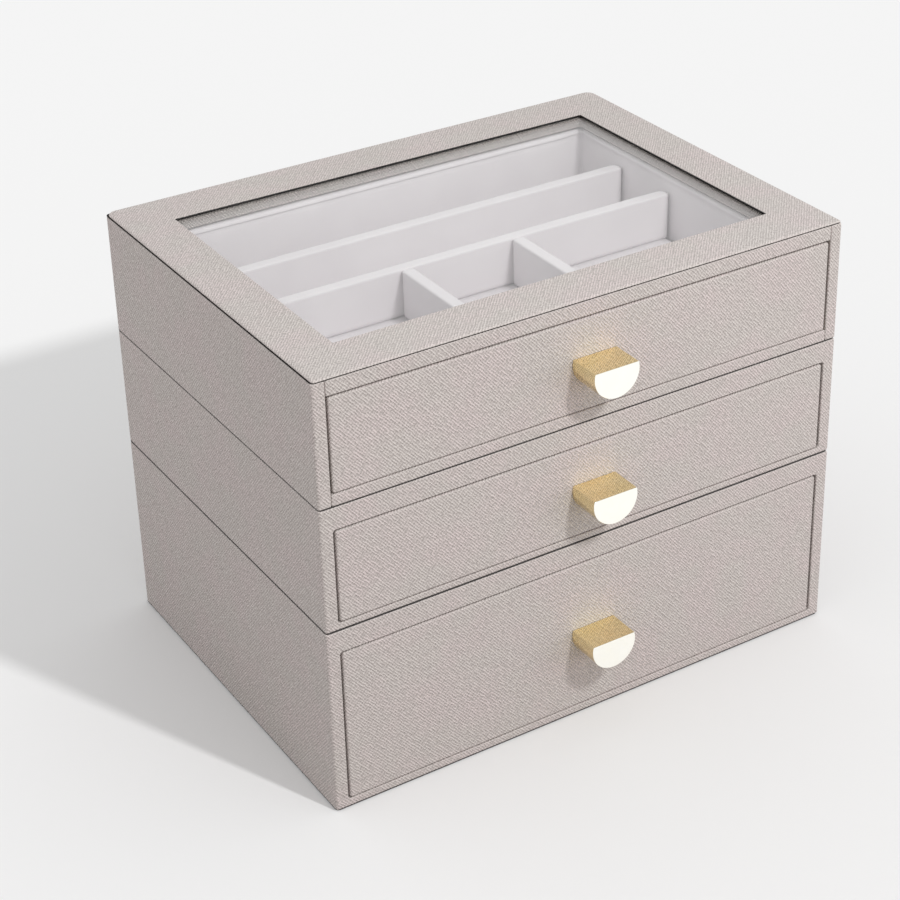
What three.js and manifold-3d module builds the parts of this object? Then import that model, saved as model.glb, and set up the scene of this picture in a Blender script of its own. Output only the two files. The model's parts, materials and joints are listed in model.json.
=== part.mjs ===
// A jewelry case of three stacked drawer boxes covered in leatherette, the top one with a window.
// Millimetres, +Z up. The origin is the centre of the footprint on the ground. The drawers face -Y.
import * as THREE from 'three';
import { mergeVertices } from 'three/addons/utils/BufferGeometryUtils.js';
import Module from 'manifold-3d';

const wasm = await Module();
wasm.setup();

// The case from outside
const caseWidth = 250;
const caseDepth = 182;
const lowerHeight = 85.2;
const middleHeight = 55.4;
const upperHeight = 55.2;
const cornerRadius = 2;
const edgeRadius = 0.5;
const hemRadius = 0.25;
const crispRadius = 0.25;

// Gaps: seat is a glue line or a stacking joint, fit is round soft and sliding pieces
const seat = 0.1;
const fit = 0.3;
const overrun = 2;

// The walls of each box, all measured with their covering
const wrapThickness = 0.8;
const sideWall = 5.7;
const backWall = 8.8;
const lowerBaseStrip = 3.8;
const middleBaseStrip = 3.55;
const upperBaseStrip = 5.6;
const lowerTopStrip = 9.9;
const middleTopStrip = 9.8;
const feltThickness = 0.4;
const feltInset = 0.3;

// The lid of the upper box: a thin cap frame, the black tape under it, and the board that holds the pane
const capThickness = 0.9;
const capSideInset = 0.15;
const railHeight = 7;
const windowSideBorder = 21.8;
const windowEndBorder = 22.8;
const glassThickness = 1.8;
const glassMargin = 3;
const tapeHeight = 0.25;
const tapeInset = 0.25;

// The drawers: panel, box, velvet liner, floor pad and dividers
const panelThickness = 6;
const panelEdge = 0.8;
const sideGap = 0.9;
const headGap = 0.7;
const drawerSide = 7;
const drawerBack = 6;
const drawerBottom = 3;
const boxDrop = 1;
const rimDrop = 0.2;
const linerWall = 7.6;
const linerRim = 2.6;
const linerCorner = 3;
const padThickness = 9.5;
const padEdge = 1.6;
const dividerThickness = 5.5;
const dividerDrop = 6.8;

// Where the dividers stand, in clear widths of the bays
const backRow = 29.1;
const middleRow = 30.1;
const leftBay = 68;
const middleBay = 49;
const middleDrawerRow = 62;

// The half-round pull and its screw
const pullRadius = 10.7;
const pullFlatHeight = 2.6;
const pullLength = 15.3;
const pullLift = 1.3;
const pullChamfer = 0.4;
const screwRadius = 1.6;
const screwGrip = 8;
const screwHeadRadius = 3.6;
const screwHeadHeight = 2;
const screwSlotWidth = 0.9;
const screwSlotLength = 3.8;
const screwSlotDepth = 1.1;

// Roundness
const cornerSteps = 4;
const edgeSteps = 3;
const pullSteps = 28;
const screwSides = 20;

const halfWidth = caseWidth / 2;
const halfDepth = caseDepth / 2;
const openingHalf = halfWidth - sideWall;
const windowHalfX = halfWidth - windowSideBorder;
const windowHalfY = halfDepth - windowEndBorder;
const boxHalf = openingHalf - sideGap;
const boxRear = halfDepth - backWall - fit;
const panelBack = -halfDepth + panelThickness;

const finishes = {
  leatherette: { color: 0xc3bbb6, roughness: 0.62, metalness: 0 },
  board: { color: 0xb79a74, roughness: 0.8, metalness: 0 },
  velvet: { color: 0xdcd8da, roughness: 0.95, metalness: 0 },
  felt: { color: 0x35312f, roughness: 1, metalness: 0 },
  brass: { color: 0xd8b878, roughness: 0.25, metalness: 1 },
  steel: { color: 0xb9bbbd, roughness: 0.35, metalness: 1 },
  glass: { color: 0xeef4f2, roughness: 0.05, metalness: 0, transparent: true, opacity: 0.25 },
  tape: { color: 0x161514, roughness: 0.7, metalness: 0 },
};

function addPiece(group, name, finish, geometry) {
  geometry.computeVertexNormals();
  const mesh = new THREE.Mesh(geometry, new THREE.MeshStandardMaterial(finishes[finish]));
  mesh.name = name;
  group.add(mesh);
  return mesh;
}

// A plain board between two corners
function boardBetween(x, y, z) {
  const board = new THREE.BoxGeometry(x[1] - x[0], y[1] - y[0], z[1] - z[0]);
  return board.translate((x[0] + x[1]) / 2, (y[0] + y[1]) / 2, (z[0] + z[1]) / 2);
}

// One level loop of a rounded rectangle, counter-clockwise from above
function roundedLoop({ halfX, halfY, radius, z, centreY = 0 }) {
  const corner = Math.max(radius, crispRadius);
  const points = [];
  [[1, 1], [-1, 1], [-1, -1], [1, -1]].forEach(([signX, signY], quarter) => {
    for (let step = 0; step <= cornerSteps; step += 1) {
      const angle = (quarter + step / cornerSteps) * Math.PI / 2;
      const x = signX * (halfX - corner) + corner * Math.cos(angle);
      const y = signY * (halfY - corner) + corner * Math.sin(angle);
      points.push([x, centreY + y, z]);
    }
  });
  return points;
}

// Joins loops into a skin. A frame closes on its first loop, a solid gets two flat ends.
function skinLoops(loops, isFrame) {
  const rings = loops.map(roundedLoop);
  const count = rings[0].length;
  const lastStart = (rings.length - 1) * count;
  const indices = [];
  for (let band = 0; band < rings.length - (isFrame ? 0 : 1); band += 1) {
    const low = band * count;
    const high = ((band + 1) % rings.length) * count;
    for (let i = 0; i < count; i += 1) {
      const next = (i + 1) % count;
      indices.push(low + i, low + next, high + next, low + i, high + next, high + i);
    }
  }
  for (let i = 1; !isFrame && i < count - 1; i += 1) {
    indices.push(0, i + 1, i, lastStart, lastStart + i, lastStart + i + 1);
  }
  const geometry = new THREE.BufferGeometry();
  geometry.setAttribute('position', new THREE.Float32BufferAttribute(rings.flat(2), 3));
  geometry.setIndex(indices);
  return geometry;
}

// The quarter round of one loop's edge, from its side (turn 0) to its level face (turn 1)
function easedLoop(loop, edge, turn, levelSign) {
  const inset = edge * (1 - Math.cos(turn * Math.PI / 2));
  const drop = edge * (1 - Math.sin(turn * Math.PI / 2));
  return {
    ...loop,
    halfX: loop.halfX - inset,
    halfY: loop.halfY - inset,
    radius: loop.radius - inset,
    z: loop.z - levelSign * drop,
  };
}

function edgeRange(edge) {
  return edge > 0 ? Array.from({ length: edgeSteps + 1 }, (_, step) => step / edgeSteps) : [0];
}

// A slab with rounded corners, and with rounded edges below and above
function easedSlab({ halfX, halfY, radius, centreY = 0 }, z, lowEdge, highEdge) {
  const outline = { halfX, halfY, radius, centreY };
  const low = edgeRange(lowEdge).map((turn) => easedLoop({ ...outline, z: z[0] }, lowEdge, turn, -1));
  const high = edgeRange(highEdge).map((turn) => easedLoop({ ...outline, z: z[1] }, highEdge, turn, 1));
  return skinLoops([...low.reverse(), ...high], false);
}

// A frame round a hole, with its upper edges rounded outside and inside
function easedFrame(outer, inner, z, outerEdge, innerEdge) {
  const outside = edgeRange(outerEdge).map((turn) => easedLoop({ ...outer, z: z[1] }, outerEdge, turn, 1));
  const inside = edgeRange(innerEdge).map((turn) => {
    const loop = easedLoop({ ...inner, z: z[1] }, -innerEdge, turn, 1);
    return { ...loop, z: z[1] - innerEdge * (1 - Math.sin(turn * Math.PI / 2)) };
  });
  return skinLoops([{ ...outer, z: z[0] }, ...outside, ...inside.reverse(), { ...inner, z: z[0] }], true);
}

function toSolid(geometry) {
  const bare = geometry.clone();
  bare.deleteAttribute('normal');
  bare.deleteAttribute('uv');
  const merged = mergeVertices(bare);
  return new wasm.Manifold(new wasm.Mesh({
    numProp: 3,
    vertProperties: new Float32Array(merged.attributes.position.array),
    triVerts: new Uint32Array(merged.index.array),
  }));
}

// The first geometry with the others cut away
function cutAway(geometry, ...cutters) {
  const solid = cutters.reduce((rest, cutter) => rest.subtract(toSolid(cutter)), toSolid(geometry));
  const mesh = solid.getMesh();
  const result = new THREE.BufferGeometry();
  result.setAttribute('position', new THREE.BufferAttribute(new Float32Array(mesh.vertProperties), 3));
  result.setIndex(new THREE.BufferAttribute(new Uint32Array(mesh.triVerts), 1));
  return result;
}

// A side board seen from above: a strip whose two outer corners are rounded. side is -1 or 1.
function sideBoardGeometry(side, outerX, thickness, halfY, radius, z) {
  const corner = Math.max(crispRadius, Math.min(radius, thickness, halfY));
  const outline = new THREE.Shape();
  outline.moveTo(outerX - thickness, -halfY);
  outline.lineTo(outerX - corner, -halfY);
  outline.absarc(outerX - corner, -halfY + corner, corner, -Math.PI / 2, 0, false);
  outline.absarc(outerX - corner, halfY - corner, corner, 0, Math.PI / 2, false);
  outline.lineTo(outerX - thickness, halfY);
  const board = new THREE.ExtrudeGeometry(outline, {
    depth: z[1] - z[0],
    bevelEnabled: false,
    curveSegments: cornerSteps,
  });
  if (side < 0) board.rotateZ(Math.PI);
  return board.translate(0, 0, z[0]);
}

function feltSheet() {
  const outline = {
    halfX: halfWidth - feltInset,
    halfY: halfDepth - feltInset,
    radius: cornerRadius - feltInset,
  };
  return easedSlab(outline, [0, feltThickness], 0, 0);
}

// The box of the lower and the middle drawer: five boards inside one leatherette skin
function addWrappedCarcass(group, name, { height, openLow, openHigh }) {
  const under = feltThickness + seat;
  const skin = wrapThickness + seat;
  const wrapInner = {
    halfX: halfWidth - wrapThickness,
    halfY: halfDepth - wrapThickness,
    radius: cornerRadius - wrapThickness,
  };
  const cover = easedSlab({ halfX: halfWidth, halfY: halfDepth, radius: cornerRadius },
    [under, height], hemRadius, edgeRadius);
  const hollow = easedSlab(wrapInner, [under - overrun, height - wrapThickness], 0, 0);
  const doorway = boardBetween([-openingHalf, openingHalf], [-halfDepth - overrun, 0], [openLow, openHigh]);
  addPiece(group, `${name}_wrap`, 'leatherette', cutAway(cover, hollow, doorway));

  const boardFront = -halfDepth + skin;
  const boardRear = halfDepth - skin;
  const between = [-openingHalf + seat, openingHalf - seat];
  const sideThickness = sideWall - skin;
  const sideZ = [under, height - skin];
  [['left', -1], ['right', 1]].forEach(([hand, side]) => {
    const board = sideBoardGeometry(side, halfWidth - skin, sideThickness, boardRear,
      cornerRadius - skin, sideZ);
    addPiece(group, `${name}_${hand}_side`, 'board', board);
  });
  const backFront = halfDepth - backWall;
  addPiece(group, `${name}_back_board`, 'board', boardBetween(between, [backFront, boardRear], sideZ));
  const runY = [boardFront, backFront - seat];
  addPiece(group, `${name}_top_board`, 'board', boardBetween(between, runY, [openHigh, height - skin]));
  addPiece(group, `${name}_base_board`, 'board', boardBetween(between, runY, [under, openLow]));
  addPiece(group, `${name}_base_felt`, 'felt', feltSheet());
}

// The box of the upper drawer: boards covered one by one, and the lid. The pane lies in the frame board,
// flush with it, under the tape and the cap.
function addGlazedCarcass(group, name, { height, openLow, openHigh }) {
  const under = feltThickness + seat;
  const capLow = height - capThickness;
  const tapeHigh = capLow - seat;
  const tapeLow = tapeHigh - tapeHeight;
  const boardTop = tapeLow - seat;
  const sideZ = [under, boardTop];
  const between = [-openingHalf + seat, openingHalf - seat];
  [['left', -1], ['right', 1]].forEach(([hand, side]) => {
    const board = sideBoardGeometry(side, halfWidth, sideWall, halfDepth, cornerRadius, sideZ);
    addPiece(group, `${name}_${hand}_side`, 'leatherette', board);
  });
  const backFront = halfDepth - backWall;
  addPiece(group, `${name}_back_board`, 'leatherette', boardBetween(between, [backFront, halfDepth], sideZ));
  const runY = [-halfDepth, backFront - seat];
  addPiece(group, `${name}_base_board`, 'leatherette', boardBetween(between, runY, [under, openLow]));
  addPiece(group, `${name}_base_felt`, 'felt', feltSheet());

  const window = { halfX: windowHalfX, halfY: windowHalfY, radius: crispRadius };
  const grow = (amount) => ({ ...window, halfX: windowHalfX + amount, halfY: windowHalfY + amount });
  const glassLow = boardTop - glassThickness;
  const ledge = glassLow - seat;
  const whole = { halfX: halfWidth, halfY: halfDepth, radius: cornerRadius };
  const frameBoard = cutAway(
    boardBetween(between, runY, [openHigh, boardTop]),
    easedSlab(window, [openHigh - overrun, boardTop + overrun], 0, 0),
    easedSlab(grow(glassMargin + fit), [ledge, boardTop + overrun], 0, 0));
  addPiece(group, `${name}_frame_board`, 'leatherette', frameBoard);
  addPiece(group, `${name}_glass`, 'glass',
    easedSlab(grow(glassMargin), [glassLow, boardTop], 0, 0));
  const tapeOutline = {
    halfX: whole.halfX - tapeInset,
    halfY: whole.halfY - tapeInset,
    radius: whole.radius - tapeInset,
  };
  addPiece(group, `${name}_glazing_tape`, 'tape',
    easedFrame(tapeOutline, window, [tapeLow, tapeHigh], 0, 0));
  addPiece(group, `${name}_cap_frame`, 'leatherette',
    easedFrame({ ...whole, halfX: whole.halfX - capSideInset }, window,
      [capLow, height], edgeRadius, 0));
}

// The pull: a round bar cut flat above its axis. Local +Z becomes the way it stands out.
function pullGeometry() {
  const radius = pullRadius - pullChamfer;
  const flat = pullFlatHeight - pullChamfer;
  const flatAngle = Math.asin(flat / radius);
  const outline = new THREE.Shape();
  outline.absarc(0, 0, radius, Math.PI - flatAngle, 2 * Math.PI + flatAngle, false);
  outline.closePath();
  const bar = new THREE.ExtrudeGeometry(outline, {
    depth: pullLength - 2 * pullChamfer,
    bevelThickness: pullChamfer,
    bevelSize: pullChamfer,
    bevelSegments: 1,
    curveSegments: pullSteps,
  }).translate(0, 0, pullChamfer);
  const bore = new THREE.CylinderGeometry(screwRadius + fit, screwRadius + fit,
    screwGrip + fit + overrun, screwSides);
  bore.rotateX(Math.PI / 2).translate(0, 0, (screwGrip + fit - overrun) / 2);
  return cutAway(bar, bore);
}

// The screw: its shank points along +Z from the head, whose seat is at 0, and the head has a cross slot
function screwGeometry(shankLength) {
  const profile = [
    [0, -screwHeadHeight], [screwHeadRadius - screwHeadHeight / 2, -screwHeadHeight],
    [screwHeadRadius, -screwHeadHeight / 2], [screwHeadRadius, 0],
    [screwRadius, 0], [screwRadius, shankLength - screwRadius / 2],
    [screwRadius / 2, shankLength], [0, shankLength],
  ].map(([radius, along]) => new THREE.Vector2(radius, along));
  const body = new THREE.LatheGeometry(profile, screwSides).rotateX(Math.PI / 2);
  const slot = [-screwHeadHeight - overrun, -screwHeadHeight + screwSlotDepth];
  const long = [-screwSlotLength / 2, screwSlotLength / 2];
  const narrow = [-screwSlotWidth / 2, screwSlotWidth / 2];
  return cutAway(body, boardBetween(long, narrow, slot), boardBetween(narrow, long, slot));
}

// A divider with a full round top, lying along X from its left end
function dividerGeometry(length, height) {
  const radius = dividerThickness / 2;
  const outline = new THREE.Shape();
  outline.moveTo(-radius, 0);
  outline.lineTo(radius, 0);
  outline.absarc(0, height - radius, radius, 0, Math.PI, false);
  const bar = new THREE.ExtrudeGeometry(outline, {
    depth: length,
    bevelEnabled: false,
    curveSegments: 2 * edgeSteps,
  });
  return bar.rotateX(Math.PI / 2).rotateZ(Math.PI / 2);
}

// One drawer, and the space inside its liner, which the dividers share out
function addDrawer(group, name, { openLow, openHigh }) {
  const low = openLow + fit;
  const panelHigh = openHigh - headGap;
  const panelCentre = (low + panelHigh) / 2;
  const screwHoleRadius = screwRadius + fit;
  const sinkDepth = screwHeadHeight + fit;
  const panel = cutAway(
    easedSlab({ halfX: boxHalf, halfY: (panelHigh - low) / 2, radius: panelEdge },
      [0, panelThickness], 0, panelEdge),
    new THREE.CylinderGeometry(screwHoleRadius, screwHoleRadius, panelThickness + 2 * overrun, screwSides)
      .rotateX(Math.PI / 2).translate(0, pullLift, panelThickness / 2),
    new THREE.CylinderGeometry(screwHeadRadius + fit, screwHeadRadius + fit, sinkDepth + overrun, screwSides)
      .rotateX(Math.PI / 2).translate(0, pullLift, (sinkDepth - overrun) / 2));
  panel.rotateX(Math.PI / 2);
  addPiece(group, `${name}_front`, 'leatherette', panel).position.set(0, panelBack, panelCentre);

  const pull = addPiece(group, `${name}_pull`, 'brass', pullGeometry().rotateX(Math.PI / 2));
  pull.position.set(0, -halfDepth - seat, panelCentre + pullLift);
  const shankLength = panelThickness - sinkDepth + seat + screwGrip;
  const screwBody = screwGeometry(shankLength).rotateX(Math.PI / 2);
  const screw = addPiece(group, `${name}_pull_screw`, 'steel', screwBody);
  screw.position.set(0, panelBack - sinkDepth + seat, panelCentre + pullLift);

  const boxFront = panelBack + seat;
  const bottomHigh = low + drawerBottom;
  const boxZ = [bottomHigh + seat, panelHigh - boxDrop];
  const sideInner = boxHalf - drawerSide;
  const backInner = boxRear - drawerBack;
  addPiece(group, `${name}_bottom`, 'board',
    boardBetween([-boxHalf, boxHalf], [boxFront, boxRear], [low, bottomHigh]));
  addPiece(group, `${name}_left_side`, 'board',
    boardBetween([-boxHalf, -sideInner], [boxFront, boxRear], boxZ));
  addPiece(group, `${name}_right_side`, 'board',
    boardBetween([sideInner, boxHalf], [boxFront, boxRear], boxZ));
  addPiece(group, `${name}_back`, 'board',
    boardBetween([-sideInner + seat, sideInner - seat], [backInner, boxRear], boxZ));

  const linerFront = panelBack + fit;
  const linerRear = backInner - fit;
  const centreY = (linerFront + linerRear) / 2;
  const outer = {
    halfX: sideInner - fit,
    halfY: (linerRear - linerFront) / 2,
    radius: linerCorner,
    centreY,
  };
  const shrink = (amount) => ({ ...outer, halfX: outer.halfX - amount, halfY: outer.halfY - amount });
  const inner = shrink(linerWall);
  const rimHigh = panelHigh - rimDrop;
  addPiece(group, `${name}_liner`, 'velvet',
    easedFrame(outer, inner, [bottomHigh + fit, rimHigh], linerRim, linerRim));
  const padHigh = bottomHigh + fit + padThickness;
  addPiece(group, `${name}_floor_pad`, 'velvet',
    easedSlab(shrink(linerWall + fit), [bottomHigh + fit, padHigh], 0, padEdge));
  return {
    innerHalfX: inner.halfX,
    innerFront: centreY - inner.halfY,
    innerRear: centreY + inner.halfY,
    dividerLow: padHigh + fit,
    dividerHeight: rimHigh - dividerDrop - padHigh - fit,
  };
}

// A divider across the drawer's width, its rear face at rearY
function addLongDivider(group, name, space, rearY) {
  const length = 2 * (space.innerHalfX - fit);
  const divider = addPiece(group, name, 'velvet', dividerGeometry(length, space.dividerHeight));
  divider.position.set(-length / 2, rearY - dividerThickness / 2, space.dividerLow);
}

// A divider from front to back, its left face at leftX
function addShortDivider(group, name, space, leftX, frontY, rearY) {
  const length = rearY - frontY - 2 * fit;
  const geometry = dividerGeometry(length, space.dividerHeight).rotateZ(Math.PI / 2);
  const divider = addPiece(group, name, 'velvet', geometry);
  divider.position.set(leftX + dividerThickness / 2, frontY + fit, space.dividerLow);
}

// The boxes from the ground up. A box's drawer opening lies between its base and its top strip.
const boxes = [
  { name: 'lower', height: lowerHeight, baseStrip: lowerBaseStrip, topStrip: lowerTopStrip },
  { name: 'middle', height: middleHeight, baseStrip: middleBaseStrip, topStrip: middleTopStrip },
  { name: 'upper', height: upperHeight, baseStrip: upperBaseStrip, topStrip: capThickness + railHeight },
];
const jewelryCase = new THREE.Group();
const spaces = {};
const drawers = {};
let stackedHeight = 0;
for (const { name, height, baseStrip, topStrip } of boxes) {
  const box = new THREE.Group();
  box.position.z = stackedHeight;
  jewelryCase.add(box);
  const sizes = { height, openLow: baseStrip, openHigh: height - topStrip };
  const addCarcass = name === 'upper' ? addGlazedCarcass : addWrappedCarcass;
  addCarcass(box, name, sizes);
  drawers[name] = new THREE.Group();
  box.add(drawers[name]);
  spaces[name] = addDrawer(drawers[name], `${name}_drawer`, sizes);
  stackedHeight += height + seat;
}

// The lower drawer is shared in two
addShortDivider(drawers.lower, 'lower_drawer_short_divider', spaces.lower, -dividerThickness / 2,
  spaces.lower.innerFront, spaces.lower.innerRear);

// The middle drawer has a row at the back, and two bays in front of it
const rowFront = spaces.middle.innerRear - middleDrawerRow;
addLongDivider(drawers.middle, 'middle_drawer_long_divider', spaces.middle, rowFront);
addShortDivider(drawers.middle, 'middle_drawer_short_divider', spaces.middle, -dividerThickness / 2,
  spaces.middle.innerFront, rowFront - dividerThickness);

// The upper drawer has two rows at the back, and three bays in front of them
const longRears = [spaces.upper.innerRear - backRow];
longRears.push(longRears[0] - dividerThickness - middleRow);
longRears.forEach((rearY, index) => {
  addLongDivider(drawers.upper, `upper_drawer_long_divider_${index + 1}`, spaces.upper, rearY);
});
const bayRear = longRears[1] - dividerThickness;
const shortLefts = [-spaces.upper.innerHalfX + leftBay];
shortLefts.push(shortLefts[0] + dividerThickness + middleBay);
shortLefts.forEach((leftX, index) => {
  addShortDivider(drawers.upper, `upper_drawer_short_divider_${index + 1}`, spaces.upper, leftX,
    spaces.upper.innerFront, bayRear);
});

export default jewelryCase;
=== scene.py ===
# A jewelry case of three stacked drawer boxes in greige leatherette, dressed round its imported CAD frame.
# All sizes are in millimetres until a mesh is made, and every mesh is in metres.
import json
import math

import bmesh
import bpy
from mathutils import Matrix, Vector, noise

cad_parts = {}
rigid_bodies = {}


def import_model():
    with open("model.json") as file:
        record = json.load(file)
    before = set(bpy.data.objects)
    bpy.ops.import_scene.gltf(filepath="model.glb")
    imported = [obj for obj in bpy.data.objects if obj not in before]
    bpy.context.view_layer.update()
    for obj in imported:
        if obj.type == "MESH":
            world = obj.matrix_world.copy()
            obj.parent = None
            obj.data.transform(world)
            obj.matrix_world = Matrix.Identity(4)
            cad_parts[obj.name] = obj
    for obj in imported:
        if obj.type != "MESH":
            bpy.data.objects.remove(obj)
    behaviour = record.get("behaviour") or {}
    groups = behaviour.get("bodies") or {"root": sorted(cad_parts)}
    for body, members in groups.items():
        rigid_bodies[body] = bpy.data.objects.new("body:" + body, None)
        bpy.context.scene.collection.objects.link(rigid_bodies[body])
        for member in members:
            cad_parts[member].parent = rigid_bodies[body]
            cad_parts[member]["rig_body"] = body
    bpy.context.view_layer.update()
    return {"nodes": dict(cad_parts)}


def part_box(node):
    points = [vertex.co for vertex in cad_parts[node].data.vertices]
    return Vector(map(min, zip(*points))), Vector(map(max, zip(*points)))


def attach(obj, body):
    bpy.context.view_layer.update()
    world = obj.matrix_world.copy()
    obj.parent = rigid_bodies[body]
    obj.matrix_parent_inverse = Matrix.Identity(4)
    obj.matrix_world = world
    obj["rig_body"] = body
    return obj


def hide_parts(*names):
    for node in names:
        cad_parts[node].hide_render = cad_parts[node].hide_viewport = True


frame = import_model()
mm = 0.001
toMm = (1 / mm,) * 3  # what a Mapping node needs to turn metres into millimetres
bandRepeat = 0.314159  # a Wave texture's bands repeat at this distance at scale 1


def mmBox(node):
    low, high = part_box(node)
    return low / mm, high / mm


def toLinear(hexColour):
    channels = [int(hexColour[start:start + 2], 16) / 255 for start in (1, 3, 5)]
    linear = [c / 12.92 if c <= 0.04045 else ((c + 0.055) / 1.055) ** 2.4 for c in channels]
    return (*linear, 1.0)


def findSocket(sockets, key):
    if isinstance(key, int):
        return sockets[key]
    return next(s for s in sockets if key in (s.identifier, s.name))


def addNode(tree, kind, inputs=None, **settings):
    node = tree.nodes.new(kind)
    for key, value in settings.items():
        setattr(node, key, value)
    for key, value in (inputs or {}).items():
        socket = findSocket(node.inputs, key)
        if isinstance(value, bpy.types.Node):
            tree.links.new(value.outputs[0], socket)
        elif isinstance(value, bpy.types.NodeSocket):
            tree.links.new(value, socket)
        else:
            socket.default_value = value
    return node


def newMaterial(name):
    material = bpy.data.materials.new(name)
    material.use_nodes = True
    material.node_tree.nodes.clear()
    return material, material.node_tree


# Camera: fitted to the straight edges of the photograph
view = {
    "place": (-0.43937, -0.71361, 0.57161),
    "turn": (62.3332, 0.8183, -32.8597),
    "lens": 87.7612,
    "sensor": 36,
    "shift": (-0.05611, -0.11056),
}
cameraData = bpy.data.cameras.new("photoCamera")
cameraData.lens = view["lens"]
cameraData.sensor_width = view["sensor"]
cameraData.shift_x, cameraData.shift_y = view["shift"]
camera = bpy.data.objects.new("photoCamera", cameraData)
camera.location = view["place"]
camera.rotation_euler = [math.radians(angle) for angle in view["turn"]]
bpy.context.scene.collection.objects.link(camera)
bpy.context.scene.camera = camera
bpy.context.scene.view_settings.view_transform = "Standard"
print("camera in place")

# Light: an even white room, a soft key from the front above and a weak fill from the right, which light the
# object, and a low sun from the front right that lights only the paper and gives the long shadow on it
light = {
    "keyPlace": (0.15, -0.85, 0.95), "keyAim": (0, 0, 0.1), "keyWatts": 5.8, "keySize": 0.12,
    "fillPlace": (0.42, -0.45, 0.13), "fillAim": (0.08, -0.09, 0.1), "fillWatts": 0.34, "fillSize": 0.25,
    "towardsLowSun": (0.323, -0.763, 0.559), "lowSunStrength": 1.5, "lowSunAngle": 3,
    "roomStrength": 0.8, "distance": "#f4f4f4",
    "paper": "#eeeeee", "paperMirrored": "#fdfdfd", "paperBounce": "#b6afae",
    "paperHalf": 5, "paperDrop": 0.0002,
}


def addLamp(name, kind, energy, towards, place=(0, 0, 0)):
    lamp = bpy.data.objects.new(name, bpy.data.lights.new(name, kind))
    lamp.data.energy = energy
    lamp.location = place
    lamp.rotation_euler = Vector(towards).to_track_quat("Z", "Y").to_euler()
    bpy.context.scene.collection.objects.link(lamp)
    return lamp


def addPanel(name):
    place = Vector(light[f"{name}Place"])
    lamp = addLamp(f"{name}Light", "AREA", light[f"{name}Watts"], place - Vector(light[f"{name}Aim"]), place)
    lamp.data.size = light[f"{name}Size"]
    return lamp


keyLight = addPanel("key")
fillLight = addPanel("fill")
lowSun = addLamp("lowSun", "SUN", light["lowSunStrength"], light["towardsLowSun"])
lowSun.data.angle = math.radians(light["lowSunAngle"])


# 1 where the camera, a mirror or the glass looks at the surroundings, and 0 where they only give light
def addSeenRay(tree):
    rays = addNode(tree, "ShaderNodeLightPath")
    seenRay = addNode(tree, "ShaderNodeMath", {
        0: rays.outputs["Is Camera Ray"], 1: rays.outputs["Is Glossy Ray"]}, operation="MAXIMUM")
    return addNode(tree, "ShaderNodeMath", {
        0: seenRay, 1: rays.outputs["Is Transmission Ray"]}, operation="MAXIMUM")


world = bpy.data.worlds.new("whiteRoom")
bpy.context.scene.world = world
world.use_nodes = True
tree = world.node_tree
tree.nodes.clear()
seenRay = addSeenRay(tree)
lit = addNode(tree, "ShaderNodeBackground", {"Color": (1, 1, 1, 1), "Strength": light["roomStrength"]})
cameraRay = addNode(tree, "ShaderNodeLightPath").outputs["Is Camera Ray"]
seenRoom = addNode(tree, "ShaderNodeMix", {
    "Factor_Float": cameraRay, "A_Color": toLinear(light["paper"]), "B_Color": toLinear(light["distance"])},
    data_type="RGBA")
seen = addNode(tree, "ShaderNodeBackground", {"Color": seenRoom.outputs[2], "Strength": 1})
mixed = addNode(tree, "ShaderNodeMixShader", {0: seenRay, 1: lit, 2: seen})
addNode(tree, "ShaderNodeOutputWorld", {"Surface": mixed})

half = light["paperHalf"]
floorMesh = bpy.data.meshes.new("paperFloor")
corners = [(x * half, y * half, -light["paperDrop"]) for x, y in ((-1, -1), (1, -1), (1, 1), (-1, 1))]
floorMesh.from_pydata(corners, [], [(0, 1, 2, 3)])
floor = bpy.data.objects.new("paperFloor", floorMesh)
bpy.context.scene.collection.objects.link(floor)
paper, tree = newMaterial("mattPaper")
mirrorRay = addNode(tree, "ShaderNodeLightPath").outputs["Is Glossy Ray"]
seenPaper = addNode(tree, "ShaderNodeMix", {
    "Factor_Float": mirrorRay, "A_Color": toLinear(light["paper"]),
    "B_Color": toLinear(light["paperMirrored"])}, data_type="RGBA")
shade = addNode(tree, "ShaderNodeMix", {
    "Factor_Float": addSeenRay(tree), "A_Color": toLinear(light["paperBounce"]),
    "B_Color": seenPaper.outputs[2]}, data_type="RGBA")
diffuse = addNode(tree, "ShaderNodeBsdfDiffuse", {"Color": shade.outputs[2]})
addNode(tree, "ShaderNodeOutputMaterial", {"Surface": diffuse})
floorMesh.materials.append(paper)
for lamp, linkState in ((keyLight, "EXCLUDE"), (fillLight, "EXCLUDE"), (lowSun, "INCLUDE")):
    receivers = bpy.data.collections.new(f"{lamp.name}Receivers")
    lamp.light_linking.receiver_collection = receivers
    receivers.objects.link(floor)
    receivers.collection_objects[0].light_linking.link_state = linkState
print("light and floor in place")


# The place on the piece, in millimetres, so that a pattern's scale is a real size
def placeInMm(tree):
    place = addNode(tree, "ShaderNodeTexCoord")
    return addNode(tree, "ShaderNodeMapping", {"Vector": place.outputs["Object"], "Scale": toMm})


# What most finishes end with: two colours blended by a share, the shader, and a bump in millimetres
def closeMaterial(material, share, colours, shaderInputs, height=None, bumpHeight=0, blend="MIX"):
    tree = material.node_tree
    first, second = [toLinear(colour) if isinstance(colour, str) else colour for colour in colours]
    colour = addNode(tree, "ShaderNodeMix", {"Factor_Float": share, "A_Color": first, "B_Color": second},
                     data_type="RGBA", blend_type=blend)
    shader = addNode(tree, "ShaderNodeBsdfPrincipled", {"Base Color": colour.outputs[2], **shaderInputs})
    if height:
        bump = addNode(tree, "ShaderNodeBump", {"Distance": bumpHeight * mm, "Height": height})
        tree.links.new(bump.outputs[0], shader.inputs["Normal"])
    addNode(tree, "ShaderNodeOutputMaterial", {"Surface": shader})
    return material


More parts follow.
